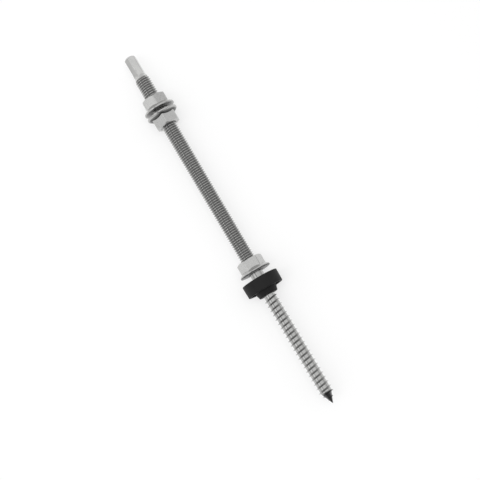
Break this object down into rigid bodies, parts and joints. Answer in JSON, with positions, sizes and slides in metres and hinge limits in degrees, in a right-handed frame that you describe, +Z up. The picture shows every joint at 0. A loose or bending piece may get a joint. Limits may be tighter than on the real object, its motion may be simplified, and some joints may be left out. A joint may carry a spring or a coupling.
{
  "type": "hanger bolt",
  "caption": "Double-ended stud: machine thread with a hex drive end, flange nuts and a black rubber seal at one end, coarse wood thread with a gimlet point at the other.",
  "frame": {"origin": "centre of the bounding box at floor level, with the bolt lying as it comes to rest", "axes": "+X along the bolt towards its point, which stands about 1 degree up from level; +Z up from the floor"},
  "size_m": [0.25, 0.024, 0.0241],
  "materials": {
    "bolt_steel": "rolled stainless steel, satin grey",
    "nut_steel": "stainless steel, cold forged, satin",
    "seal_rubber": "matt black moulded rubber"
  },
  "bodies": {
    "bolt": {"hanger_bolt": "bolt_steel", "rubber_seal": "seal_rubber"},
    "upper_nut": {"upper_flange_nut": "nut_steel"},
    "middle_nut": {"middle_flange_nut": "nut_steel"},
    "lower_nut": {"lower_flange_nut": "nut_steel"}
  },
  "joints": [
    {"name": "upper_nut_travel", "type": "slide", "parent": "bolt", "child": "upper_nut", "axis": [0.9999, 0, 0.0149], "range_m": [-0.0218, 0.0023]},
    {"name": "middle_nut_travel", "type": "slide", "parent": "bolt", "child": "middle_nut", "axis": [0.9999, 0, 0.0149], "range_m": [0, 0.0489]},
    {"name": "lower_nut_travel", "type": "slide", "parent": "bolt", "child": "lower_nut", "axis": [0.9999, 0, 0.0149], "range_m": [-0.0489, 0]}
  ]
}
